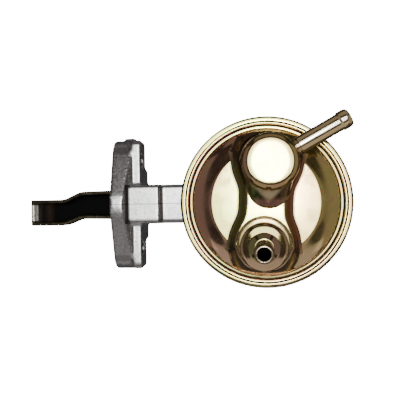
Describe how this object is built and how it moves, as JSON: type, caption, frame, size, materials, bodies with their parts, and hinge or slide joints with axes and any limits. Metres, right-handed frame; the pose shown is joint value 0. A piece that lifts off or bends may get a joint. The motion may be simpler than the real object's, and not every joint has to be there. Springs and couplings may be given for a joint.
{
  "type": "mechanical fuel pump",
  "caption": "Mechanical diaphragm fuel pump with a bolted flange, a rocker arm, a crimped domed cover and two hose tails.",
  "frame": {"origin": "middle of the two bolt holes, on the flange's mating face", "axes": "+X from the mating face to the drum, +Y along the flange, +Z from the casting up to the cover; the rocker arm points along -X"},
  "size_m": [0.1605, 0.079, 0.0732],
  "materials": {
    "cast_aluminium": "cast, matt",
    "gold_zinc": "yellow passivated zinc",
    "tail_zinc": "polished, yellow passivated zinc",
    "arm_steel": "black oiled steel",
    "lever_steel": "oiled steel",
    "ground_steel": "ground steel",
    "plug_metal": "matt",
    "spring_steel": "drawn wire",
    "zinc_steel": "zinc plated",
    "rubber": "matt rubber",
    "diaphragm_cloth": "rubber on woven cloth",
    "brass": "pressed brass"
  },
  "bodies": {
    "housing": {"lower_body": "cast_aluminium", "cover": "gold_zinc", "crimp_ring": "gold_zinc", "outlet_turret": "gold_zinc", "outlet_pipe": "tail_zinc", "inlet_cup": "gold_zinc", "inlet_pipe": "tail_zinc", "pivot_pin": "ground_steel", "pivot_plugs": "plug_metal", "pivot_washers": "lever_steel", "return_spring": "spring_steel", "rod_seal": "rubber", "seal_retainer": "zinc_steel", "diaphragm_spring": "spring_steel", "diaphragm": "diaphragm_cloth", "inlet_valve_seat": "brass", "inlet_valve_spring": "spring_steel", "inlet_valve_cage": "brass", "outlet_valve_seat": "brass", "outlet_valve_spring": "spring_steel", "outlet_valve_cage": "brass"},
    "rocker": {"rocker_arm": "arm_steel"},
    "lever": {"link_lever": "lever_steel"},
    "rod": {"pull_rod": "ground_steel", "lower_plate": "zinc_steel", "upper_plate": "zinc_steel"},
    "inlet_valve": {"inlet_valve_disc": "rubber"},
    "outlet_valve": {"outlet_valve_disc": "rubber"}
  },
  "joints": [
    {"name": "rocker_swing", "type": "hinge", "parent": "housing", "child": "rocker", "pos_m": [0.0236, 0, 0], "axis": [0, 1, 0], "range_deg": [0, 6], "stiffness_Nm_per_rad": 1, "springref_deg": -17.19, "deforming": ["return_spring"]},
    {"name": "lever_swing", "type": "hinge", "parent": "housing", "child": "lever", "pos_m": [0.0236, 0, 0], "axis": [0, 1, 0], "range_deg": [0, 6]},
    {"name": "rod_slide", "type": "slide", "parent": "housing", "child": "rod", "axis": [0, 0, 1], "range_m": [-0.0054, 0], "stiffness_N_per_m": 20, "springref_m": 0.002, "deforming": ["diaphragm_spring", "diaphragm"]},
    {"name": "inlet_valve_lift", "type": "slide", "parent": "housing", "child": "inlet_valve", "axis": [0, 0, -1], "range_m": [0, 0.0015], "stiffness_N_per_m": 40, "springref_m": -0.001, "deforming": ["inlet_valve_spring"]},
    {"name": "outlet_valve_lift", "type": "slide", "parent": "housing", "child": "outlet_valve", "axis": [0, 0, 1], "range_m": [0, 0.0015], "stiffness_N_per_m": 40, "springref_m": -0.001, "deforming": ["outlet_valve_spring"]}
  ],
  "couplings": [
    {"joint": "lever_swing", "follows": "rocker_swing", "ratio": 1},
    {"joint": "rod_slide", "follows": "rocker_swing", "m_per_rad": -0.0513}
  ]
}
